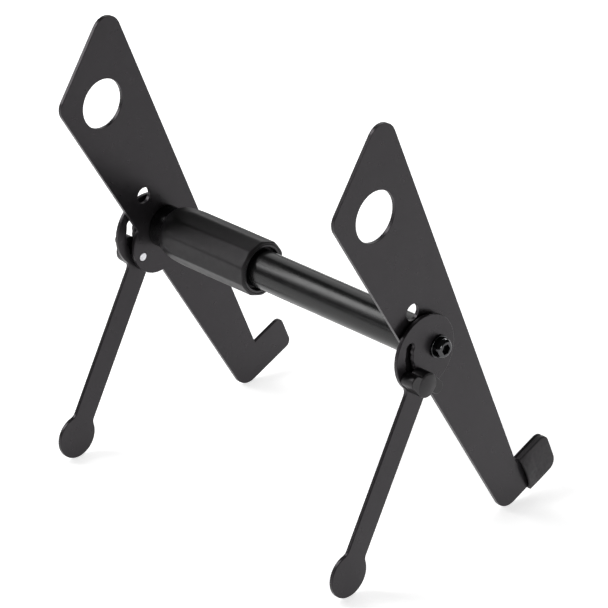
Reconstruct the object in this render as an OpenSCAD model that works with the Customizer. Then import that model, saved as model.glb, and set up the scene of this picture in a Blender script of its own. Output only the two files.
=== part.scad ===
// Desktop gear stand. Two flat steel side plates, each with a lip at its foot, stand on a table
// and lean back on folding legs. A telescoping crossbar with a twist grip joins them.
// X runs along the crossbar, -Y is the user's side, +Z is up, and the floor is z = 0.

/* [Side plates] */
// Thickness of the plates and legs, 2.5 mm sheet with its powder coat
sheet_t = 2.7; // [2:0.1:3.2]
// Clear distance between the two plates as set
span = 239; // [220:1:260]
// Slope of the front edge above the floor, in degrees
front_slope = 67.3; // [66:0.1:69]
// Slope of the rear edge above the floor, in degrees
rear_slope = 58.9; // [58:0.1:60]
// Distance from the pivot forward to the front edge
front_offset = 28.9; // [27:0.1:32]
// Distance from the pivot back to the rear edge
rear_offset = 18; // [16.5:0.1:20]
// Length of the front edge above the pivot
front_above = 175; // [165:1:185]
// Length of the front edge below the pivot, down to the lip
front_below = 138; // [130:1:146]
// Length of the rear edge above the pivot
rear_above = 136.6; // [130:0.5:142]
// Length of the lip
lip_length = 27; // [22:0.5:34]
// Depth of the lip, measured along the front edge
lip_depth = 25.3; // [22:0.1:30]
// Corner radius at the plate's top
tip_r = 11.4; // [6:0.1:14]
// Corner radius at the plate's rear corner
rear_r = 10; // [5:0.5:16]
// Corner radius of the heel that the plate stands on
heel_r = 12.7; // [8:0.1:16]
// Corner radius of the lip
lip_r = 5; // [2:0.5:8]

/* [Holes in the plates] */
// Radius of the round window near the top
window_r = 16.7; // [12:0.1:18]
// Distance from the pivot to the window, along the front edge
window_along = 113.3; // [105:0.1:120]
// Distance from the front edge to the window's centre
window_in = 34.8; // [28:0.1:38]
// Radius of the accessory hole
accessory_r = 5.5; // [3:0.1:6.5]
// Distance from the pivot to the accessory hole, along the front edge
accessory_along = 31.9; // [28:0.1:40]
// Distance from the front edge to the accessory hole's centre
accessory_in = 34.1; // [28:0.1:36]
// Radius of the round ear that carries the lock stud
ear_r = 21.6; // [20:0.1:24]
// Distance from the pivot to the ear's centre
ear_reach = 11.5; // [10:0.1:13]
// Direction from the pivot to the ear's centre, in degrees below the horizontal
ear_drop = 60.3; // [55:0.1:65]

/* [Legs] */
// Length of a leg from the pivot to its round foot
leg_length = 151.6; // [145:0.1:158]
// Width of the leg's straight part
leg_w = 17.3; // [14:0.1:20]
// Distance from the pivot back to the leg's centre line
leg_offset = 4.1; // [2:0.1:6]
// Radius of the round foot
foot_r = 15.1; // [12:0.1:18]
// Radius of the round head
head_r = 25.4; // [24.5:0.1:27]
// Distance from the pivot to the head's centre, along the leg
head_along = 6.2; // [4:0.1:7]
// Distance from the pivot to the head's centre, across the leg
head_across = 9.1; // [8:0.1:10.5]
// Radius of the blend between the straight part and the round ends
blend_r = 5; // [2:0.5:8]
// Gap between a plate and its leg, filled by the spacer
leg_gap = 2.6; // [1.5:0.1:4]
// Number of notches in the leg's curved slot
notches = 5; // [3:1:5]
// Angle from one notch to the next, in degrees
notch_step = 14; // [14:0.5:15]
// Radius of one notch
notch_r = 3.6; // [3.5:0.1:4]
// Clearance of the slot's necks around the stud
neck_clearance = 0.2; // [0.15:0.05:0.3]

/* [Pivot bolts] */
// Diameter of the pivot bolt's shank
bolt_d = 8; // [6:0.5:8]
// Length of the bolt's shank
bolt_length = 25; // [22:1:27]
// Diameter of the bolt's head
bolt_head_d = 13.4; // [12:0.1:14]
// Height of the bolt's head
bolt_head_h = 5.2; // [4.5:0.1:8]
// Height of the dome on the bolt's head
bolt_dome_h = 4; // [3:0.1:4.4]
// How far the dome draws in to the flat around the socket
bolt_dome_drop = 2.5; // [1:0.1:2.5]
// Width across the flats of the bolt's hexagon socket
bolt_hex = 6; // [4:0.5:6]
// Depth of the hexagon socket
bolt_hex_depth = 3.2; // [2:0.1:3.5]
// Outer diameter of the washer and the spacer
washer_d = 15; // [14.5:0.5:18]
// Thickness of the washer
washer_t = 1.6; // [1:0.1:2.5]

/* [Lock knobs] */
// Diameter of the lock stud
stud_d = 6; // [5:0.5:6]
// Distance from the pivot to the stud
stud_reach = 25.4; // [25:0.1:26]
// Direction from the pivot to the stud, in degrees below the horizontal
stud_drop = 40; // [39:0.5:41]
// Diameter of the knob's hub
knob_hub_d = 16.4; // [14:0.1:18]
// Height of the knob's hub
knob_hub_h = 10.6; // [10.2:0.1:14]
// Height of the knob's wings
knob_wing_h = 9.8; // [8:0.1:10]
// Radius of a wing's round end
knob_wing_r = 4.4; // [3.5:0.1:5.5]
// Distance from the stud to the centre of a wing's round end, along the wing
knob_wing_reach = 10.4; // [8:0.1:11]
// How far a wing lies to one side of the stud
knob_wing_offset = 1.1; // [0.5:0.1:2]
// How far the wings' straight flanks lie inside the round ends they join
knob_flank_inset = 0.15; // [0.1:0.05:0.3]
// Tilt of the left knob's wings above the horizontal, in degrees
left_knob_tilt = 33; // [0:1:90]
// Tilt of the right knob's wings above the horizontal, in degrees
right_knob_tilt = 58; // [0:1:90]
// Depth of the stud in the knob
stud_seat = 7; // [5:0.1:7.5]

/* [Crossbar] */
// Diameter of the inner tube
inner_tube_d = 25.4; // [24:0.1:26]
// Wall of the inner tube
inner_tube_wall = 1.5; // [1.2:0.1:2]
// Gap between the inner and the outer tube
tube_gap = 0.4; // [0.3:0.05:0.6]
// Wall of the outer tube
outer_tube_wall = 1.2; // [1:0.1:1.4]
// Room left for the guide bush to slide in further, up to the plug
closing_room = 6; // [5:0.5:10]
// Length of the threaded plug in each tube's end
tube_plug_length = 18; // [16:0.5:19]
// Length of the guide bush's spigot in the inner tube
bush_spigot = 10; // [6:0.5:14]
// Length of the guide bush's flange
bush_flange = 6; // [4:0.5:6]

/* [Twist grip] */
// Thickness of the grip's wall around the outer tube, under its ridges
grip_wall = 4.5; // [4.2:0.1:6]
// Length of the grip
grip_length = 81.5; // [78:0.5:84]
// Bare length of outer tube between the grip and the plate
grip_stand_off = 11.5; // [8:0.5:14]
// Length of the rounded shoulder at the grip's far end
shoulder_length = 20; // [12:0.5:24]
// Drop of the rounded shoulder at the grip's far end
shoulder_drop = 3.7; // [2:0.1:3.7]
// Number of flutes around the grip
flutes = 10; // [8:1:12]
// Radius of one flute
flute_r = 54; // [40:1:70]
// Width of the ridge between two flutes
ridge_w = 0.8; // [0.6:0.1:1.2]
// Depth of the grip's mouth, down to the end of the outer tube
mouth_depth = 7; // [5:0.5:10]
// Gap between the grip's mouth and what lies in it
mouth_gap = 0.4; // [0.3:0.05:0.5]
// Chamfer at the grip's mouth
mouth_chamfer = 1.5; // [1:0.1:1.6]
// Width of the ring set into the grip's mouth
ring_w = 1.75; // [1.2:0.05:2]
// Depth of the ring set into the grip's mouth
ring_depth = 2; // [1:0.1:3]
// Length of the clamp collet
collet_length = 3; // [2:0.1:4]
// Clearance around the collet
collet_clearance = 0.1; // [0.05:0.05:0.2]

/* [Lip boot] */
// Wall of the boot on the plate's outer side
boot_outer = 2.2; // [1.5:0.1:2.6]
// Wall of the boot on the plate's inner side
boot_inner = 1.4; // [1:0.1:2]
// Wall of the boot over the lip's top edge
boot_top = 1.5; // [1:0.1:2]
// Wall of the boot under the lip
boot_bottom = 2; // [1:0.1:2.4]
// Wall of the boot beyond the lip's end
boot_end = 1.8; // [1:0.1:2.4]
// Distance from the front edge to the boot's mouth
boot_start = 2.2; // [1:0.1:5]
// Opening of the boot's mouth away from the plate
boot_flare = 1.2; // [0.5:0.1:2]
// Length over which the boot's mouth opens
boot_flare_length = 10; // [6:0.5:14]

/* [Hidden] */

// Colours
powder_black = [0.13, 0.13, 0.14];
plastic_black = [0.09, 0.09, 0.09];
tube_black = [0.05, 0.05, 0.05];
rubber_black = [0.11, 0.11, 0.11];
zinc = [0.75, 0.75, 0.74];

// Fineness of round surfaces, and points in an outline's quarter turn
fine = 96;
arc_steps = 8;
// Radial clearance of shafts that turn or slide, and of parts that are pressed in
run = 0.05;
seat = 0.02;
// How far cutting bodies run past what they cut
past = 1;

// Directions in the side view, where the first number is Y and the second is Z
front_dir = [cos(front_slope), sin(front_slope)];
front_normal = [sin(front_slope), -cos(front_slope)];
rear_dir = [cos(rear_slope), sin(rear_slope)];
rear_normal = [sin(rear_slope), -cos(rear_slope)];

// Corners of the plate in the side view, seen from the pivot
front_top = front_dir * front_above - front_normal * front_offset;
lip_root = -front_dir * front_below - front_normal * front_offset;
lip_top = lip_root - front_normal * lip_length;
lip_bottom = lip_top - front_dir * lip_depth;
rear_corner = rear_dir * rear_above + rear_normal * rear_offset;
heel = meet(lip_bottom, front_normal, rear_corner, rear_dir);
blade = concat(
  corner(lip_root, front_top, rear_corner, tip_r),
  corner(front_top, rear_corner, heel, rear_r),
  corner(rear_corner, heel, lip_bottom, heel_r),
  corner(heel, lip_bottom, lip_top, lip_r),
  corner(lip_bottom, lip_top, lip_root, lip_r),
  [lip_root]
);

// Holes and ear in the side view
window_c = front_dir * window_along + front_normal * (window_in - front_offset);
accessory_c = front_dir * accessory_along + front_normal * (accessory_in - front_offset);
ear_c = ear_reach * turn(-ear_drop);
stud_c = stud_reach * turn(-stud_drop);
bolt_hole_r = bolt_d / 2 + run;
stud_hole_r = stud_d / 2 + run;

// Height of the pivot above the floor, which the rounded heel sets
heel_c = fillet_centre(rear_corner, heel, lip_bottom, heel_r);
pivot_h = heel_r - heel_c[1];

// Leg in its own view: the first number runs from the head to the foot, the second across
foot_c = [leg_length, leg_offset];
head_c = [head_along, head_across];
foot_angle = asin((pivot_h - foot_r) / norm(foot_c));
leg_slope = -foot_angle - atan2(leg_offset, leg_length);
foot_place = norm(foot_c) * turn(-foot_angle);
leg_outline = concat(
  arc(head_c, head_r, to_angle(blend_head(1) - head_c), to_angle(blend_head(-1) - head_c) + 360, 6 * arc_steps),
  bend(blend_head(-1), blend_r, to_angle(head_c - blend_head(-1)), 90),
  bend(blend_foot(-1), blend_r, 90, to_angle(foot_c - blend_foot(-1))),
  arc(foot_c, foot_r, to_angle(blend_foot(-1) - foot_c), to_angle(blend_foot(1) - foot_c), 5 * arc_steps),
  bend(blend_foot(1), blend_r, to_angle(foot_c - blend_foot(1)), -90),
  bend(blend_head(1), blend_r, -90, to_angle(head_c - blend_head(1)))
);
neck_w = stud_d + 2 * neck_clearance;
first_notch = -stud_drop - leg_slope;

// Distances along X for the side of the stand that lies at +X
inner_x = span / 2;
spacer_x = inner_x + sheet_t;
leg_x = spacer_x + leg_gap;
washer_x = leg_x + sheet_t;
head_x = washer_x + washer_t;
stud_length = washer_x + stud_seat - inner_x;

// Radii and distances along the crossbar
inner_tube_r = inner_tube_d / 2;
inner_bore_r = inner_tube_r - inner_tube_wall;
outer_bore_r = inner_tube_r + tube_gap;
outer_tube_r = outer_bore_r + outer_tube_wall;
inner_end_x = inner_x - tube_plug_length - closing_room - bush_flange;
mouth_x = inner_x - grip_stand_off - grip_length;
outer_tube_x = mouth_x + mouth_depth;
grip_r = outer_tube_r + grip_wall;
recess_r = outer_tube_r + mouth_gap;
ring_r = recess_r + ring_w;
flute_half = 180 / flutes - asin(ridge_w / 2 / grip_r);
flute_c = grip_r * cos(flute_half) + sqrt(pow(flute_r, 2) - pow(grip_r * sin(flute_half), 2));
// Angle of the first flute, half a step from the ridge on top
first_flute = 90 + 180 / flutes;

// The boot in its own view: the first number runs from the front edge to the lip's end,
// the second up along the front edge
boot_end_u = lip_length + boot_end;
boot_low_v = -lip_depth - boot_bottom;
boot_corner_low_r = lip_r + boot_bottom;
boot_corner_high_r = lip_r + boot_top;
boot_outline = concat(
  [[boot_start, boot_top], [boot_start, boot_low_v]],
  corner([boot_start, boot_low_v], [boot_end_u, boot_low_v], [boot_end_u, boot_top], boot_corner_low_r),
  corner([boot_end_u, boot_low_v], [boot_end_u, boot_top], [boot_start, boot_top], boot_corner_high_r)
);
lip_outline = concat(
  [[-past, run], [-past, -lip_depth - run]],
  corner([0, -lip_depth - run], [lip_length + run, -lip_depth - run], [lip_length + run, run], lip_r),
  corner([lip_length + run, -lip_depth - run], [lip_length + run, run], [0, run], lip_r)
);

// The stand's frontmost and rearmost points, which put the origin at the middle of its base
boot_corner_c = lip_root - front_normal * (boot_end_u - boot_corner_low_r)
  + front_dir * (boot_low_v + boot_corner_low_r);
boot_high_c = lip_root - front_normal * (boot_end_u - boot_corner_high_r)
  + front_dir * (boot_top - boot_corner_high_r);
front_y = min(boot_corner_c[0] - boot_corner_low_r, boot_high_c[0] - boot_corner_high_r);
rear_y = max(foot_place[0] + foot_r, ear_c[0] + ear_r);
axis_y = -(front_y + rear_y) / 2;

// Plane geometry
function turn(a) = [cos(a), sin(a)];
function to_angle(v) = atan2(v[1], v[0]);
function cross_2d(a, b) = a[0] * b[1] - a[1] * b[0];
function meet(p, u, q, v) = p + u * cross_2d(q - p, v) / cross_2d(u, v);
function unit(v) = v / norm(v);
function arc(c, r, a, b, n) = [for (i = [0:n]) c + r * turn(a + (b - a) * i / n)];
function short_way(a, b) = (b - a + 900) % 360 - 180;
function bend(c, r, a, b) = arc(c, r, a, a + short_way(a, b), arc_steps);
function half_angle(a, p, b) = acos(unit(a - p) * unit(b - p)) / 2;
function fillet_centre(a, p, b, r) = p + r / sin(half_angle(a, p, b)) * unit(unit(a - p) + unit(b - p));
function corner(a, p, b, r) =
  let (
    c = fillet_centre(a, p, b, r),
    reach = r / tan(half_angle(a, p, b)),
    start = p + unit(a - p) * reach,
    end = p + unit(b - p) * reach
  ) bend(c, r, to_angle(start - c), to_angle(end - c));

// Outline of a rounded end of a turned part, as points of radius and height: it starts at a
// height and draws in by a drop over a length
function rounding(r, drop, height, length) =
  [for (i = [0:arc_steps]) [r - drop + drop * cos(90 * i / arc_steps), height + length * sin(90 * i / arc_steps)]];

// Centres of the leg's blends; side is 1 towards the rear of the stand and -1 towards its front
function blend_head(side) =
  let (across = leg_offset + side * (leg_w / 2 + blend_r))
  [head_along + sqrt(pow(head_r + blend_r, 2) - pow(across - head_across, 2)), across];
function blend_foot(side) =
  [leg_length - sqrt(pow(foot_r + blend_r, 2) - pow(leg_w / 2 + blend_r, 2)),
    leg_offset + side * (leg_w / 2 + blend_r)];

// Places what is built around the pivot: side is 1 for +X and -1 for -X
module at_pivot(side = 1) {
  translate([0, axis_y, pivot_h]) mirror([side < 0 ? 1 : 0, 0, 0]) children();
}

// Extrudes a side view, with Y and Z as its axes, from x over a length
module side_view(x, length) {
  translate([x, 0, 0]) rotate([90, 0, 90]) linear_extrude(length) children();
}

// Turns a shape whose axis is Z onto the X axis, starting at x
module along_x(x) {
  translate([x, 0, 0]) rotate([0, 90, 0]) children();
}

module pipe(x, length, outer_r, bore_r) {
  along_x(x) difference() {
    cylinder(h = length, r = outer_r, $fn = fine);
    translate([0, 0, -past]) cylinder(h = length + 2 * past, r = bore_r, $fn = fine);
  }
}

module side_plate(side) {
  color(powder_black) at_pivot(side) difference() {
    union() {
      side_view(inner_x, sheet_t) polygon(blade);
      side_view(inner_x, sheet_t) translate(ear_c) circle(r = ear_r, $fn = fine);
    }
    plate_hole([0, 0], bolt_hole_r);
    plate_hole(stud_c, stud_hole_r);
    plate_hole(accessory_c, accessory_r);
    plate_hole(window_c, window_r);
  }
}

module plate_hole(place, r) {
  side_view(inner_x - past, sheet_t + 2 * past) translate(place) circle(r = r, $fn = fine);
}

module leg(side) {
  color(powder_black) at_pivot(side) difference() {
    side_view(leg_x, sheet_t) rotate(leg_slope) difference() {
      polygon(leg_outline);
      circle(r = bolt_hole_r, $fn = fine);
    }
    notched_slot();
  }
}

// Curved slot of the leg: an arc-shaped neck that joins round notches
module notched_slot() {
  translate([leg_x - past, 0, 0]) rotate([90, 0, 90]) rotate(leg_slope + first_notch) {
    rotate_extrude(angle = (notches - 1) * notch_step, $fn = fine)
      translate([stud_reach - neck_w / 2, 0]) square([neck_w, sheet_t + 2 * past]);
    for (i = [0 : notches - 1]) {
      rotate(i * notch_step) translate([stud_reach, 0, 0])
        cylinder(h = sheet_t + 2 * past, r = notch_r, $fn = fine);
    }
  }
}

module leg_spacer(side) {
  color(powder_black) at_pivot(side) pipe(spacer_x, leg_gap, washer_d / 2, bolt_hole_r);
}

module bolt_washer(side) {
  color(tube_black) at_pivot(side) pipe(washer_x, washer_t, washer_d / 2, bolt_hole_r);
}

// Screw with a domed head and a hexagon socket
module pivot_bolt(side) {
  dome = rounding(bolt_head_d / 2, bolt_dome_drop, bolt_head_h - bolt_dome_h, bolt_dome_h);
  color(tube_black) at_pivot(side) along_x(head_x) difference() {
    union() {
      translate([0, 0, -bolt_length]) cylinder(h = bolt_length + past, d = bolt_d, $fn = fine);
      rotate_extrude($fn = fine) polygon(concat([[0, 0], [bolt_head_d / 2, 0]], dome, [[0, bolt_head_h]]));
    }
    translate([0, 0, bolt_head_h - bolt_hex_depth])
      cylinder(h = bolt_hex_depth + past, d = bolt_hex / cos(30), $fn = 6);
  }
}

// Both knobs are the same moulding, so the outlines of the two sides mirror each other
module wing_knob(side) {
  color(plastic_black) at_pivot(side) difference() {
    union() {
      side_view(washer_x, knob_wing_h) translate(stud_c)
        rotate(side < 0 ? left_knob_tilt : right_knob_tilt) mirror([0, side < 0 ? 0 : 1]) wing_outline();
      side_view(washer_x, knob_hub_h) translate(stud_c) circle(d = knob_hub_d, $fn = fine);
    }
    side_view(washer_x - past, stud_seat + past) translate(stud_c)
      circle(r = stud_d / 2 + seat, $fn = fine);
  }
}

// Side view of both wings. Each has a round end, a flank that runs out from the hub's rim and
// a flank along the wing.
module wing_outline() {
  hub_r = knob_hub_d / 2;
  wing_c = [knob_wing_reach, -knob_wing_offset];
  flank = to_angle(wing_c) - acos((hub_r - knob_wing_r) / norm(wing_c));
  on_hub = (hub_r - knob_flank_inset) * turn(flank);
  on_wing = wing_c + (knob_wing_r - knob_flank_inset) * turn(flank);
  upper = wing_c[1] + knob_wing_r - knob_flank_inset;
  for (s = [-1, 1]) {
    translate(s * wing_c) circle(r = knob_wing_r, $fn = fine);
    polygon(s * [[0, upper], on_hub, on_wing, [wing_c[0], upper]]);
  }
}

module knob_stud(side) {
  color(zinc) at_pivot(side) side_view(inner_x, stud_length) translate(stud_c)
    circle(d = stud_d, $fn = fine);
}

// Threaded plug in a tube's end, against the plate
module tube_plug(side, bore_r) {
  color(zinc) at_pivot(side)
    pipe(inner_x - tube_plug_length, tube_plug_length, bore_r - seat, bolt_d / 2 + seat);
}

module inner_tube() {
  color(tube_black) at_pivot() pipe(-inner_x, inner_x + inner_end_x, inner_tube_r, inner_bore_r);
}

module outer_tube() {
  color(tube_black) at_pivot() pipe(outer_tube_x, inner_x - outer_tube_x, outer_tube_r, outer_bore_r);
}

// End plug of the inner tube, whose flange runs in the outer tube
module guide_bush() {
  color(plastic_black) at_pivot() {
    along_x(inner_end_x - bush_spigot) cylinder(h = bush_spigot, r = inner_bore_r - seat, $fn = fine);
    along_x(inner_end_x) cylinder(h = bush_flange, r = outer_bore_r - run, $fn = fine);
  }
}

// Ring on the outer tube's end that closes on the inner tube
module clamp_collet() {
  color(plastic_black) at_pivot()
    pipe(outer_tube_x - collet_length, collet_length, recess_r - collet_clearance, inner_tube_r + run);
}

module twist_grip() {
  shoulder = rounding(grip_r, shoulder_drop, grip_length - shoulder_length, shoulder_length);
  color(plastic_black) at_pivot() difference() {
    along_x(mouth_x) rotate_extrude($fn = fine)
      polygon(concat([[0, 0], [grip_r - mouth_chamfer, 0], [grip_r, mouth_chamfer]], shoulder, [[0, grip_length]]));
    for (i = [0 : flutes - 1]) {
      rotate([first_flute + i * 360 / flutes, 0, 0]) translate([mouth_x - past, flute_c, 0])
        rotate([0, 90, 0]) cylinder(h = grip_length + 2 * past, r = flute_r, $fn = fine);
    }
    along_x(mouth_x - past) cylinder(h = grip_length + 2 * past, r = outer_tube_r + run, $fn = fine);
    along_x(mouth_x - past) cylinder(h = mouth_depth + past, r = recess_r, $fn = fine);
    along_x(mouth_x - past) cylinder(h = ring_depth + past, r = ring_r, $fn = fine);
  }
}

module grip_ring() {
  color(plastic_black) at_pivot() pipe(mouth_x, ring_depth, ring_r - seat, recess_r);
}

// Slip-on boot over the lip of the plate at -X; its mouth stands a little open on the outer side
module lip_boot() {
  color(rubber_black) at_pivot(-1) difference() {
    union() {
      lip_view(inner_x - boot_inner, boot_inner + sheet_t + boot_outer) polygon(boot_outline);
      boot_wedge(inner_x + sheet_t + boot_outer, boot_low_v, boot_top);
    }
    lip_view(inner_x - run, sheet_t + 2 * run) polygon(lip_outline);
    boot_wedge(inner_x + sheet_t, -lip_depth, 0);
  }
}

// Places a view of the lip: its first axis runs out along the lip, its second up the front edge
module lip_view(x, length) {
  side_view(x, length) translate(lip_root) rotate(front_slope) mirror([1, -1]) children();
}

// Wedge on a wall at x, between two heights: widest at the boot's mouth and nothing at its end
module boot_wedge(x, low, high) {
  flare_end = boot_start + boot_flare_length;
  translate([0, lip_root[0], lip_root[1]]) rotate([front_slope - 90, 0, 0])
    translate([0, 0, low]) linear_extrude(high - low)
      polygon([
        [x - past, -boot_start], [x + boot_flare, -boot_start], [x, -flare_end], [x - past, -flare_end]
      ]);
}

side_plate(-1);  // left_side_plate
side_plate(1);  // right_side_plate
leg(-1);  // left_leg
leg(1);  // right_leg
leg_spacer(-1);  // left_leg_spacer
leg_spacer(1);  // right_leg_spacer
pivot_bolt(-1);  // left_pivot_bolt
pivot_bolt(1);  // right_pivot_bolt
bolt_washer(-1);  // left_bolt_washer
bolt_washer(1);  // right_bolt_washer
wing_knob(-1);  // left_wing_knob
wing_knob(1);  // right_wing_knob
knob_stud(-1);  // left_knob_stud
knob_stud(1);  // right_knob_stud
tube_plug(-1, inner_bore_r);  // left_tube_plug
tube_plug(1, outer_bore_r);  // right_tube_plug
inner_tube();
guide_bush();
outer_tube();
clamp_collet();
twist_grip();
grip_ring();
lip_boot();
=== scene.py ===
"""Looks of a desktop gear stand: powder-coated plates and legs, a telescoping crossbar with a fluted
twist grip, socket screws, wing knobs and a rubber boot. All lengths are in metres."""

import math

import bpy
from mathutils import Matrix, Vector


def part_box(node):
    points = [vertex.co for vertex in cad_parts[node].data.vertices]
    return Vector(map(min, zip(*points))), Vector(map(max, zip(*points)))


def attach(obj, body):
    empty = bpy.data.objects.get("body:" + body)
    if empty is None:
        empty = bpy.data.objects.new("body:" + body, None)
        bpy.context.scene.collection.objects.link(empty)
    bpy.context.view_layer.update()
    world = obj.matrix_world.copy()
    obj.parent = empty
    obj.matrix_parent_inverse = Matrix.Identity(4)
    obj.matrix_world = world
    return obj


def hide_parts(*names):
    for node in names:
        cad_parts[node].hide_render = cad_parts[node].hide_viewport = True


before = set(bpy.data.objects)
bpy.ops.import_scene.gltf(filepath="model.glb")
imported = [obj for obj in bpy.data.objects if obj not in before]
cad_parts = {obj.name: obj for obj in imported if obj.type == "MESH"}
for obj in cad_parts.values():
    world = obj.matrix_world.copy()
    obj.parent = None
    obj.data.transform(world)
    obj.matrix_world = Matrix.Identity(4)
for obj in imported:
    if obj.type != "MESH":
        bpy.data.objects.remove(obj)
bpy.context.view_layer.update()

MM = 0.001
SIDES = (("left", -1), ("right", 1))

# Axes that the frame gives: the crossbar's, and the lock knobs'
tube_low, tube_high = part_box("inner_tube")
PIVOT = (tube_low + tube_high) / 2
stud_low, stud_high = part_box("right_knob_stud")
STUD = (stud_low + stud_high) / 2

# Faces round a turned piece, a stud and the grip, and steps in their curves
ROUND_STEPS, STUD_STEPS, GRIP_STEPS = 96, 48, 240
QUARTER_STEPS, MOUTH_STEPS, DOME_STEPS = 16, 10, 12

# Distance below which points merge, and margins for a cut and for picking points by their place
MERGE_GAP, CUT_MARGIN, PICK_MARGIN = 0.001 * MM, 0.01 * MM, 0.1 * MM

# Rounding of the sheet's cut edges under the coat, and the bend from which an edge counts as sharp
COAT_EDGE = 0.5 * MM
SHARP_BEND = math.radians(40)

# Spacers and washers: their screw holes and edge rounding
SCREW_HOLE_R, WASHER_EDGE = 4.05 * MM, 0.3 * MM

# Crossbar: bores and edge rounding of the tubes and the collet
INNER_BORE, OUTER_BORE, COLLET_BORE = 11.2 * MM, 13.1 * MM, 12.75 * MM
TUBE_EDGE, COLLET_EDGE = 0.3 * MM, 0.25 * MM

# Twist grip, and the recess in its mouth for the collet and the ring
GRIP_BORE, RECESS_R, RING_SEAT_R = 14.35 * MM, 14.7 * MM, 16.45 * MM
RING_DEPTH, RECESS_DEPTH = 2 * MM, 7.05 * MM
RING_EDGE = 0.4 * MM
MOUTH_ROUND, MOUTH_BREAK = 1.2 * MM, 0.2 * MM
SHOULDER, SHOULDER_DROP = 20 * MM, 3.7 * MM
BORE_BREAK, BORE_BREAK_DEPTH = 0.1 * MM, 0.3 * MM
GRIP_RING_STEP = 2.5 * MM

# Flutes: number and radius, the ridges between them, and how near the mouth and to what share they fade
FLUTES = 10
FLUTE_R = 54 * MM
RIDGE_W = 0.8 * MM
RIDGE_SOFTNESS = 0.7 * MM
MOUTH_FADE, MOUTH_SHARE = 4 * MM, 0.5

# Pivot screws
SHANK_R, SHANK_BEVEL, HEAD_FOOT = 4 * MM, 0.8 * MM, 0.3 * MM
SOCKET_ACROSS = 6 * MM
SOCKET_FLAT_R = SOCKET_ACROSS / 2
SOCKET_DEPTH = 3.2 * MM
SOCKET_BEVEL = 0.25 * MM
DRILL_R, DRILL_DEPTH, DRILL_TIP_R = 2.6 * MM, 0.8 * MM, 0.05 * MM
HEAD_DOME_H = 4 * MM
HEAD_DOME_DROP = 2.5 * MM
HEAD_CREASE = math.radians(32)

# Wing knobs
KNOB_WING_H = 9.8 * MM
KNOB_EDGE = 0.7 * MM
KNOB_DOME_R, KNOB_DOME_ROOT = 7.6 * MM, 1 * MM

# Studs of the knobs, whose thread is drawn as rings
CREST_R, ROOT_R, PITCH = 3 * MM, 2.72 * MM, 1 * MM
THREAD_START, THREAD_END, STUD_BEVEL = 0.45 * MM, 6 * MM, 0.5 * MM

# Lip boot, in its own view: u runs out along the lip and v up along the plate's front edge
FRONT_SLOPE = math.radians(67.3)
FRONT_DIR = Vector((0, math.cos(FRONT_SLOPE), math.sin(FRONT_SLOPE)))
OUT_DIR = Vector((0, -math.sin(FRONT_SLOPE), math.cos(FRONT_SLOPE)))
LIP_DROP, LIP_REACH = 138 * MM, 28.9 * MM
LIP_ROOT = PIVOT - FRONT_DIR * LIP_DROP + OUT_DIR * LIP_REACH
BOOT_VOXEL = 0.34 * MM
BOOT_END = 28.8 * MM
BOOT_TOP, BOOT_LOW = 1.5 * MM, -27.3 * MM
BOOT_MIDDLE = (BOOT_TOP + BOOT_LOW) / 2
BOOT_CORNER_R = 6.7 * MM
BOOT_WALL = 2.2 * MM
BOOT_FLARE, FLARE_END, FLARE_LENGTH = 1.2 * MM, 12.2 * MM, 10 * MM
BOOT_BULGE = 0.5 * MM
SEAM_PLACE, SEAM_WIDTH, SEAM_DEPTH, SEAM_REACH = 2.1 * MM, 0.6 * MM, 0.9 * MM, 0.8 * MM

# How far the boot's mouth moves in at its two ends, how much less in the middle, and how deep that reaches
INNER_MOVE, INNER_ARCH = 1.15 * MM, 2.15 * MM
OUTER_MOVE, OUTER_ARCH = 1.6 * MM, 2.2 * MM
SPRING_REACH = 1.5 * MM

# Camera of the photograph
CAMERA_PLACE = (-1.384235, 1.356703, 1.103021)
CAMERA_AZIMUTH = math.radians(225.584)
CAMERA_ELEVATION = math.radians(26.770)
CAMERA_ROLL = math.radians(-0.675)
FOCAL_PIXELS = 3391.0
IMAGE_PIXELS = 608
SENSOR = 36
FAR_CLIP = 50

# Studio: the floor, the backdrop, and each light's name, direction from the crossbar, distance, size
# and radiance
FLOOR_SIZE = 40
BACKDROP_R, BACKDROP_H = 18, 30
LIGHTS = (
    ("rear_softbox", (0.64, 0.40, 0.66), 1.5, (1.5, 0.48), 6.2),
    ("front_softbox", (0.5, -0.6, 0.6), 1.6, (1.6, 1.0), 1.0),
    ("side_softbox", (0.35, -0.92, 0.16), 1.6, (0.9, 0.5), 1.5),
    ("front_lamp", (0.11, -0.85, 0.52), 1.5, (0.42, 0.42), 6.0),
    ("camera_lamp", (-0.94, 0.27, 0.19), 1.5, (0.42, 0.42), 6.0),
    ("back_lamp", (0.48, 0.86, 0.15), 1.5, (0.20, 0.20), 6.0),
)


def only(piece):
    """Makes one object the selected and active one."""
    bpy.ops.object.select_all(action="DESELECT")
    piece.select_set(True)
    bpy.context.view_layer.objects.active = piece


def pick(piece, kind, test):
    """Enters edit mode with those faces, edges or vertices selected for which test is true."""
    only(piece)
    bpy.ops.object.mode_set(mode="EDIT")
    bpy.ops.mesh.select_mode(type=kind)
    bpy.ops.mesh.select_all(action="DESELECT")
    bpy.ops.object.mode_set(mode="OBJECT")
    mesh = piece.data
    items = {"VERT": mesh.vertices, "EDGE": mesh.edges, "FACE": mesh.polygons}[kind]
    for item in items:
        item.select = test(item)
    bpy.ops.object.mode_set(mode="EDIT")


def leave_edit():
    bpy.ops.object.mode_set(mode="OBJECT")


def modify(piece, kind, **settings):
    """Adds a modifier with these settings and applies it."""
    only(piece)
    modifier = piece.modifiers.new(kind.title(), kind)
    for name, value in settings.items():
        setattr(modifier, name, value)
    bpy.ops.object.modifier_apply(modifier=modifier.name)


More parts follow.
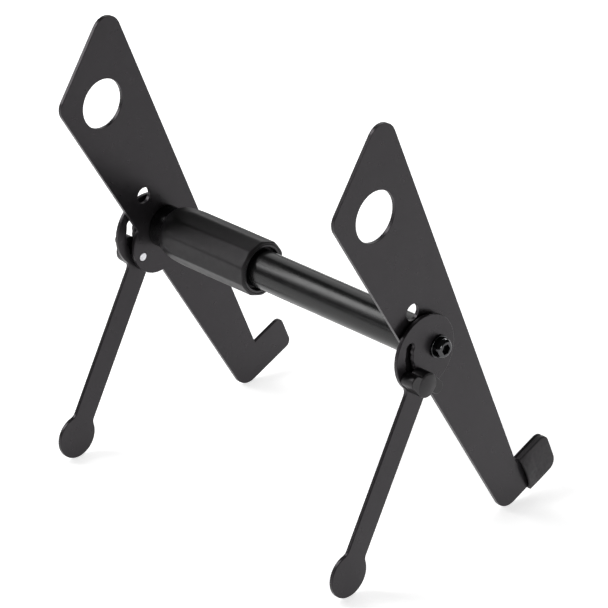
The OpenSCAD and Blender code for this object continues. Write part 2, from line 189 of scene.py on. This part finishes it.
def copy_of(node, name):
    """A merged copy of a CAD node's mesh, with its flat faces dissolved into few."""
    piece = bpy.data.objects.new(name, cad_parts[node].data.copy())
    bpy.context.scene.collection.objects.link(piece)
    piece.data.materials.clear()
    only(piece)
    bpy.ops.object.mode_set(mode="EDIT")
    bpy.ops.mesh.select_all(action="SELECT")
    bpy.ops.mesh.customdata_custom_splitnormals_clear()
    bpy.ops.mesh.remove_doubles(threshold=MERGE_GAP)
    bpy.ops.mesh.dissolve_limited(angle_limit=math.radians(0.5))
    leave_edit()
    return piece


def soften(piece, width, segments=3):
    """Rounds a piece's sharp edges."""
    modify(piece, "BEVEL", width=width, segments=segments, limit_method="ANGLE", angle_limit=SHARP_BEND,
           use_clamp_overlap=True)


def shade(piece):
    """Shades a piece smooth so that its large flat faces stay flat."""
    only(piece)
    bpy.ops.object.shade_smooth()
    modify(piece, "WEIGHTED_NORMAL", mode="FACE_AREA", weight=50, keep_sharp=False)


def turned(name, rings, axis=PIVOT, steps=ROUND_STEPS, closed=True):
    """A piece turned about an axis along X. rings holds (x, radius) along its wall, which comes back to its
    first ring where it is closed, as a pipe's does, and otherwise gets a face over each end."""
    first_x, first_r = rings[0]
    bpy.ops.object.select_all(action="DESELECT")
    bpy.ops.mesh.primitive_circle_add(
        vertices=steps, radius=first_r, location=(first_x, axis.y, axis.z), rotation=(0, math.pi / 2, 0))
    piece = bpy.context.active_object
    piece.name = name
    bpy.ops.object.transform_apply()
    bpy.ops.object.mode_set(mode="EDIT")
    bpy.ops.mesh.select_mode(type="EDGE")
    bpy.ops.mesh.select_all(action="SELECT")
    if not closed:
        bpy.ops.mesh.edge_face_add()
    path = rings + rings[:1] if closed else rings
    for (x0, r0), (x1, r1) in zip(path, path[1:]):
        bpy.ops.mesh.extrude_region_move(TRANSFORM_OT_translate={"value": (x1 - x0, 0, 0)})
        bpy.ops.transform.resize(value=(1, r1 / r0, r1 / r0), center_override=(x1, axis.y, axis.z))
    bpy.ops.mesh.select_all(action="SELECT")
    bpy.ops.mesh.remove_doubles(threshold=MERGE_GAP)
    bpy.ops.mesh.normals_make_consistent(inside=False)
    leave_edit()
    if not closed:
        fill_end(piece)
    return piece


def fill_end(piece):
    """Closes a turned piece's one open end with a face."""
    pick(piece, "EDGE", lambda e: False)
    bpy.ops.mesh.select_non_manifold(extend=False, use_wire=False, use_multi_face=False,
                                     use_non_contiguous=False)
    bpy.ops.mesh.edge_face_add()
    bpy.ops.mesh.select_all(action="SELECT")
    bpy.ops.mesh.normals_make_consistent(inside=False)
    leave_edit()


def rounded(x0, x1, outer, bore, edge):
    """Rings of a pipe from x0 to x1 with its four edges broken."""
    return [
        (x0, bore + edge), (x0, outer - edge), (x0 + edge, outer), (x1 - edge, outer),
        (x1, outer - edge), (x1, bore + edge), (x1 - edge, bore), (x0 + edge, bore),
    ]


def arc(x, r, radius, start, end, steps=6):
    """Points (x, r) on an arc about a centre, angles in degrees from the outward direction."""
    turns = [math.radians(start + (end - start) * i / steps) for i in range(steps + 1)]
    return [(x + radius * math.sin(t), r + radius * math.cos(t)) for t in turns]


def quarter_turn(steps):
    """Angles from 0 to a right angle, for curves that aren't quite round."""
    return [math.pi / 2 * i / steps for i in range(steps + 1)]


def ends(node, sign):
    """A node's inner and outer end along X, where sign is the way out."""
    low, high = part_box(node)
    return (low.x, high.x) if sign > 0 else (high.x, low.x)


def radius_of(node):
    """The radius of a node that is round about an axis along X."""
    low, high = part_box(node)
    return (high.z - low.z) / 2


def finished(piece, body, node, material):
    """Gives a piece its finish, and puts it on its body in place of its CAD node."""
    piece.data.materials.clear()
    piece.data.materials.append(material)
    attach(piece, body)
    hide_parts(node)
    return piece


def new_material(name):
    """A new material, with its node tree, its shader and its object coordinates."""
    material = bpy.data.materials.new(name)
    material.use_nodes = True
    tree = material.node_tree
    shader = tree.nodes["Principled BSDF"]
    place = tree.nodes.new("ShaderNodeTexCoord").outputs["Object"]
    return material, tree, shader, place


def noise(tree, place, scale, detail=2.0, stretch=(1, 1, 1)):
    """A noise over the object's coordinates, with scale in lumps a metre."""
    mapping = tree.nodes.new("ShaderNodeMapping")
    mapping.inputs["Scale"].default_value = stretch
    tree.links.new(place, mapping.inputs["Vector"])
    node = tree.nodes.new("ShaderNodeTexNoise")
    node.inputs["Scale"].default_value = scale
    node.inputs["Detail"].default_value = detail
    tree.links.new(mapping.outputs["Vector"], node.inputs["Vector"])
    return node.outputs["Fac"]


def spread(tree, value, low, high, start=0.3, end=0.7):
    """Maps a noise's middle range to values from low to high."""
    node = tree.nodes.new("ShaderNodeMapRange")
    node.inputs["From Min"].default_value = start
    node.inputs["From Max"].default_value = end
    node.inputs["To Min"].default_value = low
    node.inputs["To Max"].default_value = high
    tree.links.new(value, node.inputs["Value"])
    return node.outputs["Result"]


def tint(tree, value, dark, light):
    """A colour between two, by a value from 0 to 1."""
    node = tree.nodes.new("ShaderNodeMix")
    node.data_type = "RGBA"
    node.inputs["A"].default_value = (*dark, 1)
    node.inputs["B"].default_value = (*light, 1)
    tree.links.new(value, node.inputs["Factor"])
    return node.outputs["Result"]


def bump(tree, height, depth, below=None):
    """A bump of this depth in metres, on top of another one if given."""
    node = tree.nodes.new("ShaderNodeBump")
    node.inputs["Strength"].default_value = 1
    node.inputs["Distance"].default_value = depth
    tree.links.new(height, node.inputs["Height"])
    if below:
        tree.links.new(below, node.inputs["Normal"])
    return node.outputs["Normal"]


def powder_coat():
    """Satin black powder coat: orange peel, a fine grain and slightly uneven gloss."""
    material, tree, shader, place = new_material("satin_powder_coat")
    cloud = noise(tree, place, 60, 3)
    shade_by = spread(tree, cloud, 0, 1)
    tree.links.new(tint(tree, shade_by, (0.0110, 0.0100, 0.0110), (0.0140, 0.0128, 0.0140)),
                   shader.inputs["Base Color"])
    tree.links.new(spread(tree, noise(tree, place, 240, 3), 0.27, 0.34), shader.inputs["Roughness"])
    peel = bump(tree, noise(tree, place, 900, 1), 0.006 * MM)
    grain = bump(tree, noise(tree, place, 4200, 2), 0.0022 * MM, peel)
    tree.links.new(grain, shader.inputs["Normal"])
    shader.inputs["IOR"].default_value = 1.40
    shader.inputs["Specular Tint"].default_value = (1.0, 0.93, 1.0, 1)
    return material


def gloss_paint():
    """Glossy black tube enamel with faint drawing lines along the tube."""
    material, tree, shader, place = new_material("gloss_tube_enamel")
    lines = noise(tree, place, 1500, 2, (0.01, 1, 1))
    tree.links.new(tint(tree, spread(tree, lines, 0, 1), (0.0040, 0.0040, 0.0042), (0.0070, 0.0070, 0.0072)),
                   shader.inputs["Base Color"])
    tree.links.new(spread(tree, noise(tree, place, 90, 3), 0.21, 0.27), shader.inputs["Roughness"])
    tree.links.new(bump(tree, lines, 0.0012 * MM, bump(tree, noise(tree, place, 500, 1), 0.003 * MM)),
                   shader.inputs["Normal"])
    shader.inputs["IOR"].default_value = 1.43
    return material


def moulded_plastic(name, roughness, colour):
    """Black moulded plastic with a fine spark-eroded grain."""
    material, tree, shader, place = new_material(name)
    cloud = spread(tree, noise(tree, place, 80, 3), 0, 1)
    lighter = tuple(c * 1.5 for c in colour)
    tree.links.new(tint(tree, cloud, colour, lighter), shader.inputs["Base Color"])
    tree.links.new(spread(tree, noise(tree, place, 300, 3), roughness - 0.04, roughness + 0.04),
                   shader.inputs["Roughness"])
    grain = bump(tree, noise(tree, place, 3600, 3), 0.003 * MM)
    tree.links.new(bump(tree, noise(tree, place, 500, 1), 0.005 * MM, grain), shader.inputs["Normal"])
    shader.inputs["IOR"].default_value = 1.42
    shader.inputs["Specular Tint"].default_value = (1.0, 0.96, 1.0, 1)
    return material


def boot_rubber():
    """Matt black rubber with a soft grain and a trace of bloom."""
    material, tree, shader, place = new_material("boot_rubber")
    bloom = spread(tree, noise(tree, place, 150, 4), 0, 1, start=0.35, end=0.7)
    tree.links.new(tint(tree, bloom, (0.0090, 0.0086, 0.0090), (0.0160, 0.0155, 0.0160)),
                   shader.inputs["Base Color"])
    tree.links.new(spread(tree, noise(tree, place, 400, 3), 0.46, 0.58), shader.inputs["Roughness"])
    grain = bump(tree, noise(tree, place, 2600, 3), 0.008 * MM)
    tree.links.new(bump(tree, noise(tree, place, 350, 2), 0.02 * MM, grain), shader.inputs["Normal"])
    shader.inputs["IOR"].default_value = 1.42
    shader.inputs["Specular Tint"].default_value = (1.0, 0.93, 1.0, 1)
    return material


def steel(name, dark, light, roughness):
    """Bare or blackened steel with fine turning marks."""
    material, tree, shader, place = new_material(name)
    marks = noise(tree, place, 1800, 3)
    tree.links.new(tint(tree, spread(tree, marks, 0, 1), dark, light), shader.inputs["Base Color"])
    tree.links.new(spread(tree, noise(tree, place, 700, 2), roughness - 0.04, roughness + 0.05),
                   shader.inputs["Roughness"])
    tree.links.new(bump(tree, marks, 0.003 * MM), shader.inputs["Normal"])
    shader.inputs["Metallic"].default_value = 1
    return material


COAT = powder_coat()
ENAMEL = gloss_paint()
GRIP_PLASTIC = moulded_plastic("grip_plastic", 0.47, (0.0050, 0.0048, 0.0050))
RING_PLASTIC = moulded_plastic("ring_plastic", 0.22, (0.0200, 0.0194, 0.0200))
KNOB_PLASTIC = moulded_plastic("knob_plastic", 0.38, (0.0075, 0.0072, 0.0076))
BUSH_PLASTIC = moulded_plastic("bush_plastic", 0.45, (0.0120, 0.0120, 0.0120))
RUBBER = boot_rubber()
BLACK_STEEL = steel("black_oxide_steel", (0.060, 0.060, 0.062), (0.085, 0.085, 0.088), 0.17)
ZINC = steel("zinc_plate", (0.62, 0.62, 0.65), (0.74, 0.74, 0.76), 0.32)


def make_sheet_parts():
    """The plates and legs, with the rounded edges of sheet under its coat."""
    for side, _ in SIDES:
        for node, name, body in (
            (f"{side}_side_plate", f"{side}_plate_coated", f"{side}_side"),
            (f"{side}_leg", f"{side}_leg_coated", f"{side}_leg"),
        ):
            sheet = copy_of(node, name)
            soften(sheet, COAT_EDGE)
            shade(sheet)
            finished(sheet, body, node, COAT)


def make_pipe(node, name, bore, edge, body, material):
    """A turned pipe in a node's place, as long and as wide as the node."""
    low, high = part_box(node)
    pipe = turned(name, rounded(low.x, high.x, radius_of(node), bore, edge))
    shade(pipe)
    finished(pipe, body, node, material)


def make_spacers_and_washers():
    """The spacers round the pivot screws, and the washers under their heads."""
    for side, _ in SIDES:
        for kind, slot, material in (
            ("leg_spacer", "powder_coat", COAT),
            ("bolt_washer", "black_steel", BLACK_STEEL),
        ):
            node = f"{side}_{kind}"
            make_pipe(node, f"{node}_ring", SCREW_HOLE_R, WASHER_EDGE, f"{side}_side", material)


def make_pivot_screw(side, sign):
    """Socket screw: shank, domed head and a hexagon socket in the flat on top."""
    node = f"{side}_pivot_bolt"
    tip, top = ends(node, sign)
    seat = ends(f"{side}_bolt_washer", sign)[1]
    head_r = radius_of(node)
    rings = [(tip, SHANK_R - SHANK_BEVEL), (tip + sign * SHANK_BEVEL, SHANK_R), (seat, SHANK_R),
             (seat, head_r - HEAD_FOOT), (seat + sign * HEAD_FOOT, head_r)]
    for turn in quarter_turn(QUARTER_STEPS):
        rings.append((top - sign * HEAD_DOME_H * (1 - math.sin(turn)),
                      head_r - HEAD_DOME_DROP * (1 - math.cos(turn))))
    floor = top - sign * SOCKET_DEPTH
    rings += [(top, SOCKET_FLAT_R + SOCKET_BEVEL), (top - sign * SOCKET_BEVEL, SOCKET_FLAT_R),
              (floor, SOCKET_FLAT_R), (floor, DRILL_R), (floor - sign * DRILL_DEPTH, DRILL_TIP_R)]
    screw = turned(f"{side}_socket_screw", rings, closed=False)
    press_hexagon(screw, top, sign)
    only(screw)
    bpy.ops.object.shade_smooth_by_angle(angle=HEAD_CREASE)
    finished(screw, f"{side}_side", node, BLACK_STEEL)


def press_hexagon(screw, top, sign):
    """Makes the round socket in a screw's head a hexagon, and leaves the drill mark at its foot round."""
    for vertex in screw.data.vertices:
        y, z = vertex.co.y - PIVOT.y, vertex.co.z - PIVOT.z
        r = math.hypot(y, z)
        depth = sign * (top - vertex.co.x)
        in_socket = DRILL_R + PICK_MARGIN < r < SOCKET_FLAT_R + SOCKET_BEVEL + PICK_MARGIN
        if depth > SOCKET_DEPTH + CUT_MARGIN or not in_socket:
            continue
        across = math.atan2(z, y) % (math.pi / 3) - math.pi / 6
        hexagon = (SOCKET_FLAT_R / math.cos(across) + r - SOCKET_FLAT_R) / r
        vertex.co.y = PIVOT.y + y * hexagon
        vertex.co.z = PIVOT.z + z * hexagon


def make_wing_knob(side, sign):
    """Two-winged knob: its moulding with rounded edges, and a low dome over the hub."""
    node = f"{side}_wing_knob"
    base, top = ends(node, sign)
    wing_top = base + sign * KNOB_WING_H
    knob = copy_of(node, f"{side}_knob_moulding")
    pick(knob, "FACE", lambda f: True)
    bpy.ops.mesh.bisect(plane_co=(wing_top - sign * CUT_MARGIN, 0, 0), plane_no=(sign, 0, 0),
                        use_fill=True, clear_outer=True, threshold=MERGE_GAP)
    leave_edit()
    soften(knob, KNOB_EDGE, segments=4)
    rise = abs(top - wing_top)
    dome_r = (KNOB_DOME_R**2 + rise**2) / (2 * rise)
    rings = [(wing_top - sign * KNOB_DOME_ROOT, KNOB_DOME_R)]
    for i in range(DOME_STEPS):
        r = KNOB_DOME_R * (1 - i / DOME_STEPS)
        rings.append((top - sign * (dome_r - math.sqrt(dome_r**2 - r**2)), r))
    dome = turned(f"{side}_knob_dome", rings, axis=STUD, closed=False)
    modify(knob, "BOOLEAN", object=dome, operation="UNION", solver="EXACT")
    bpy.data.objects.remove(dome)
    shade(knob)
    finished(knob, f"{side}_knob", node, KNOB_PLASTIC)


def make_stud(side, sign):
    """Threaded stud whose chamfered end lies flush in the plate."""
    node = f"{side}_knob_stud"
    inner, outer = ends(node, sign)
    rings = [(inner, CREST_R - STUD_BEVEL)]
    x = THREAD_START
    while x < THREAD_END:
        rings += [(inner + sign * x, CREST_R), (inner + sign * (x + PITCH / 2), ROOT_R)]
        x += PITCH
    rings += [(inner + sign * x, CREST_R), (outer, CREST_R)]
    stud = turned(f"{side}_threaded_stud", rings, axis=STUD, steps=STUD_STEPS, closed=False)
    shade(stud)
    finished(stud, f"{side}_knob", node, ZINC)


def make_crossbar():
    """Both tubes, and the collet in the grip's mouth."""
    for node, bore, edge, body, slot, material in (
        ("inner_tube", INNER_BORE, TUBE_EDGE, "left_side", "gloss_black", ENAMEL),
        ("outer_tube", OUTER_BORE, TUBE_EDGE, "right_side", "gloss_black", ENAMEL),
        ("clamp_collet", COLLET_BORE, COLLET_EDGE, "right_side", "black_plastic", BUSH_PLASTIC),
    ):
        make_pipe(node, f"{node}_turned", bore, edge, body, material)


def make_mouth_ring():
    """The ring in the grip's mouth, with a narrow flat between its rounded edges."""
    low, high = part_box("grip_ring")
    outer = radius_of("grip_ring")
    rings = [(high.x, RECESS_R)]
    rings += arc(low.x + RING_EDGE, RECESS_R + RING_EDGE, RING_EDGE, -180, -90)
    rings += arc(low.x + RING_EDGE, outer - RING_EDGE, RING_EDGE, -90, 0)
    rings += [(high.x, outer)]
    ring = turned("mouth_ring", rings)
    shade(ring)
    finished(ring, "twist_grip", "grip_ring", RING_PLASTIC)


def make_grip():
    """Fluted grip: a turned body with a rounded far shoulder, whose flutes are pressed in."""
    low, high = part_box("twist_grip")
    radius = radius_of("twist_grip")
    straight = high.x - SHOULDER
    step_x, ring_x = low.x + RECESS_DEPTH, low.x + RING_DEPTH
    face_r = RING_SEAT_R + MOUTH_BREAK
    rings = [(step_x, GRIP_BORE), (step_x, RECESS_R), (ring_x, RECESS_R), (ring_x, RING_SEAT_R),
             (low.x + MOUTH_BREAK, RING_SEAT_R)]
    rings += [(low.x + MOUTH_ROUND * (1 - math.cos(t)), face_r + (radius - face_r) * math.sin(t))
              for t in quarter_turn(MOUTH_STEPS)]
    count = int((straight - low.x) / GRIP_RING_STEP)
    rings += [(low.x + GRIP_RING_STEP * i, radius) for i in range(1, count)]
    rings += [(straight + SHOULDER * math.sin(t), radius - SHOULDER_DROP + SHOULDER_DROP * math.cos(t))
              for t in quarter_turn(QUARTER_STEPS)]
    rings += [(high.x, GRIP_BORE + BORE_BREAK), (high.x - BORE_BREAK_DEPTH, GRIP_BORE)]
    grip = turned("fluted_grip", rings, steps=GRIP_STEPS)
    press_flutes(grip, low.x, straight, radius, face_r)
    shade(grip)
    finished(grip, "twist_grip", "twist_grip", GRIP_PLASTIC)


def press_flutes(grip, mouth_x, straight, radius, face_r):
    """Presses hollow flutes into the grip's wall, shallower at the mouth. The recess and bore stay round."""
    half = math.pi / FLUTES - math.asin(RIDGE_W / 2 / radius)
    centre = radius * math.cos(half) + math.sqrt(FLUTE_R**2 - (radius * math.sin(half)) ** 2)
    for vertex in grip.data.vertices:
        x = vertex.co.x
        y, z = vertex.co.y - PIVOT.y, vertex.co.z - PIVOT.z
        r = math.hypot(y, z)
        if r < (face_r if x < straight else GRIP_BORE + BORE_BREAK + PICK_MARGIN):
            continue
        angle = (math.atan2(z, y) - math.pi / 2 - math.pi / FLUTES) % (2 * math.pi / FLUTES)
        angle = min(angle, 2 * math.pi / FLUTES - angle)
        flute = centre * math.cos(angle) - math.sqrt(FLUTE_R**2 - (centre * math.sin(angle)) ** 2)
        full = radius if x < straight else r
        wall = (full + flute - math.hypot(full - flute, RIDGE_SOFTNESS)) / 2
        wall = min(full, wall + RIDGE_SOFTNESS / 2)
        share = MOUTH_SHARE + (1 - MOUTH_SHARE) * min(max((x - mouth_x) / MOUTH_FADE, 0), 1)
        wall = full - (full - wall) * share
        if x < mouth_x + MOUTH_ROUND:
            wall = face_r + (wall - face_r) * (r - face_r) / (radius - face_r)
        vertex.co.y = PIVOT.y + y * wall / r
        vertex.co.z = PIVOT.z + z * wall / r


def make_boot():
    """Rubber boot: softened, its mouth sprung open in the middle, and a seam round its rim."""
    boot = copy_of("lip_boot", "lip_boot_rubber")
    modify(boot, "REMESH", mode="VOXEL", voxel_size=BOOT_VOXEL)
    modify(boot, "SMOOTH", factor=0.5, iterations=11)
    inner_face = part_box("lip_boot")[1].x
    plate_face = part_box("left_side_plate")[0].x
    for vertex in boot.data.vertices:
        place = vertex.co - LIP_ROOT
        u, v = place.dot(OUT_DIR), place.dot(FRONT_DIR)
        vertex.co += seam_dent(inner_face - vertex.co.x, u, v)
        vertex.co.x += mouth_spring(plate_face - vertex.co.x, u, v)
    modify(boot, "SMOOTH", factor=0.5, iterations=2)
    only(boot)
    bpy.ops.object.shade_smooth()
    finished(boot, "left_side", "lip_boot", RUBBER)


def mouth_spring(out, u, v):
    """How far a point of the boot, this far out from the plate's face, moves along X."""
    open_by = min(max((FLARE_END - u) / FLARE_LENGTH, 0), 1)
    wall_in = BOOT_FLARE * open_by
    arch = max(1 - ((v - BOOT_MIDDLE) / (BOOT_TOP - BOOT_MIDDLE)) ** 2, 0)
    swell = max(1 - ((u - BOOT_END / 2) / (BOOT_END / 2)) ** 2, 0)
    inner_move = open_by * (INNER_MOVE - INNER_ARCH * arch)
    outer_move = open_by * (OUTER_MOVE - OUTER_ARCH * arch) - BOOT_BULGE * swell * arch
    if out < wall_in:
        return inner_move * max(1 - (wall_in - out) / SPRING_REACH, 0)
    share = min((out - wall_in) / BOOT_WALL, 1)
    return inner_move + (outer_move - inner_move) * share


def seam_dent(depth, u, v):
    """How a point this deep in the boot moves in where the seam between its halves runs round the rim."""
    to_end = u - (BOOT_END - BOOT_CORNER_R)
    to_side = abs(v - BOOT_MIDDLE) - ((BOOT_TOP - BOOT_LOW) / 2 - BOOT_CORNER_R)
    side = 1 if v > BOOT_MIDDLE else -1
    if to_end > 0 and to_side > 0:
        reach = math.hypot(to_end, to_side)
        way = (OUT_DIR * to_end + FRONT_DIR * side * to_side) / reach
    elif to_end > to_side:
        reach, way = to_end, OUT_DIR
    else:
        reach, way = to_side, FRONT_DIR * side
    near_rim = math.exp(-((reach - BOOT_CORNER_R) / SEAM_REACH) ** 2)
    near_seam = math.exp(-((depth - SEAM_PLACE) / SEAM_WIDTH) ** 2)
    return -way * SEAM_DEPTH * near_rim * near_seam


def finish_hidden_nodes():
    """Materials of the nodes that keep their CAD shape."""
    for node, material in (
        ("guide_bush", BUSH_PLASTIC),
        ("left_tube_plug", ZINC),
        ("right_tube_plug", ZINC),
    ):
        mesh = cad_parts[node].data
        mesh.materials.clear()
        mesh.materials.append(material)


def make_camera():
    """The photograph's camera, on a long lens."""
    az, el = CAMERA_AZIMUTH, CAMERA_ELEVATION
    back = Vector((math.sin(az) * math.cos(el), -math.cos(az) * math.cos(el), math.sin(el)))
    level = Vector((math.cos(az), math.sin(az), 0))
    upright = back.cross(level)
    right = level * math.cos(CAMERA_ROLL) + upright * math.sin(CAMERA_ROLL)
    camera = bpy.data.objects.new("camera", bpy.data.cameras.new("camera"))
    bpy.context.scene.collection.objects.link(camera)
    turn = Matrix((right, back.cross(right), back)).transposed().to_4x4()
    camera.matrix_world = Matrix.Translation(CAMERA_PLACE) @ turn
    camera.data.sensor_width = SENSOR
    camera.data.lens = FOCAL_PIXELS * SENSOR / IMAGE_PIXELS
    camera.data.clip_end = FAR_CLIP
    bpy.context.scene.camera = camera


def make_softbox(name, direction, distance, size, radiance):
    """A rectangular softbox that faces the stand, as bright as radiance per unit of its face."""
    light = bpy.data.lights.new(name, "AREA")
    light.shape = "RECTANGLE"
    light.size, light.size_y = size
    light.energy = radiance * math.pi * size[0] * size[1]
    box = bpy.data.objects.new(name, light)
    bpy.context.scene.collection.objects.link(box)
    away = Vector(direction).normalized()
    facing = away.to_track_quat("Z", "X").to_matrix().to_4x4()
    box.matrix_world = Matrix.Translation(PIVOT + away * distance) @ facing
    box.visible_camera = False


def stage_finish(name, grey, roughness, specular, glow):
    """The plain glowing finish of the floor or the backdrop."""
    material, _, shader, _ = new_material(name)
    shader.inputs["Base Color"].default_value = (grey, grey, grey, 1)
    shader.inputs["Roughness"].default_value = roughness
    shader.inputs["Specular IOR Level"].default_value = specular
    shader.inputs["Emission Color"].default_value = (1, 1, 1, 1)
    shader.inputs["Emission Strength"].default_value = glow
    return material


def make_floor():
    """The pale floor that the stand is on."""
    bpy.ops.object.select_all(action="DESELECT")
    bpy.ops.mesh.primitive_plane_add(size=FLOOR_SIZE, location=(0, 0, 0))
    floor = bpy.context.active_object
    floor.name = "studio_floor"
    finish = stage_finish("studio_floor", grey=0.86, roughness=0.9, specular=0.1, glow=0.72)
    floor.data.materials.append(finish)


def make_backdrop():
    """A pale wall far round the stand, which low views see but the gloss doesn't."""
    bpy.ops.object.select_all(action="DESELECT")
    bpy.ops.mesh.primitive_cylinder_add(
        vertices=64, radius=BACKDROP_R, depth=BACKDROP_H, end_fill_type="NOTHING")
    wall = bpy.context.active_object
    wall.name = "studio_backdrop"
    finish = stage_finish("studio_backdrop", grey=0, roughness=1, specular=0.5, glow=0.78)
    wall.data.materials.append(finish)
    wall.visible_diffuse = False
    wall.visible_glossy = False
    wall.visible_shadow = False


def make_sky():
    """A dim sky that darkens to the horizon, for the gloss between the softboxes."""
    world = bpy.data.worlds.new("studio_sky")
    bpy.context.scene.world = world
    world.use_nodes = True
    tree = world.node_tree
    sky = tree.nodes["Background"]
    place = tree.nodes.new("ShaderNodeTexCoord").outputs["Generated"]
    split = tree.nodes.new("ShaderNodeSeparateXYZ")
    tree.links.new(place, split.inputs["Vector"])
    ramp = spread(tree, split.outputs["Z"], 0.37, 0.76, start=0.0, end=0.6)
    tree.links.new(ramp, sky.inputs["Strength"])


make_camera()
make_sheet_parts()
make_spacers_and_washers()
for side, sign in SIDES:
    make_pivot_screw(side, sign)
    make_wing_knob(side, sign)
    make_stud(side, sign)
make_crossbar()
make_mouth_ring()
make_grip()
make_boot()
finish_hidden_nodes()
make_floor()
make_backdrop()
make_sky()
for light in LIGHTS:
    make_softbox(*light)
bpy.context.scene.view_settings.view_transform = "Standard"
